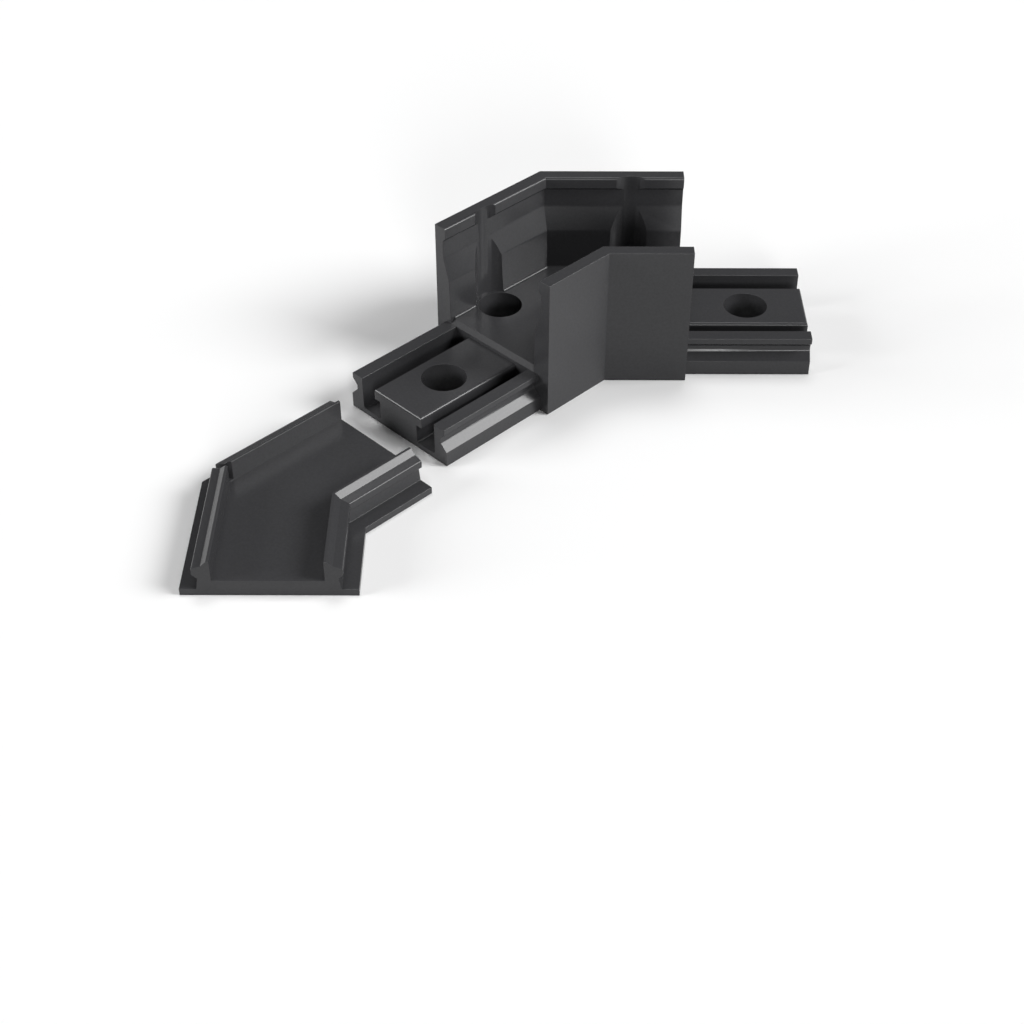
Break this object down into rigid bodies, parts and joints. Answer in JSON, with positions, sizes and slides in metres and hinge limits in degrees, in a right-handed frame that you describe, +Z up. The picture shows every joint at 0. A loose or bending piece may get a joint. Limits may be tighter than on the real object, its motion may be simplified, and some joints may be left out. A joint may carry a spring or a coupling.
{
  "type": "cable trough corner connector",
  "caption": "Dark plastic corner connector for a square cable trough, bent at an obtuse angle, with slotted plug-in tongues, screw holes and its snap-in cover laid beside it.",
  "frame": {"origin": "on the underside, where the centre lines of the two arms cross", "axes": "+X along one arm out of its mouth, +Z up out of the open trough, +Y towards the outside of the bend"},
  "size_m": [0.1124, 0.0907, 0.0285],
  "materials": {
    "body_plastic": "satin, anthracite",
    "cover_plastic": "satin, anthracite"
  },
  "bodies": {
    "root": {"connector_body": "body_plastic", "snap_cover": "cover_plastic"}
  },
  "joints": []
}
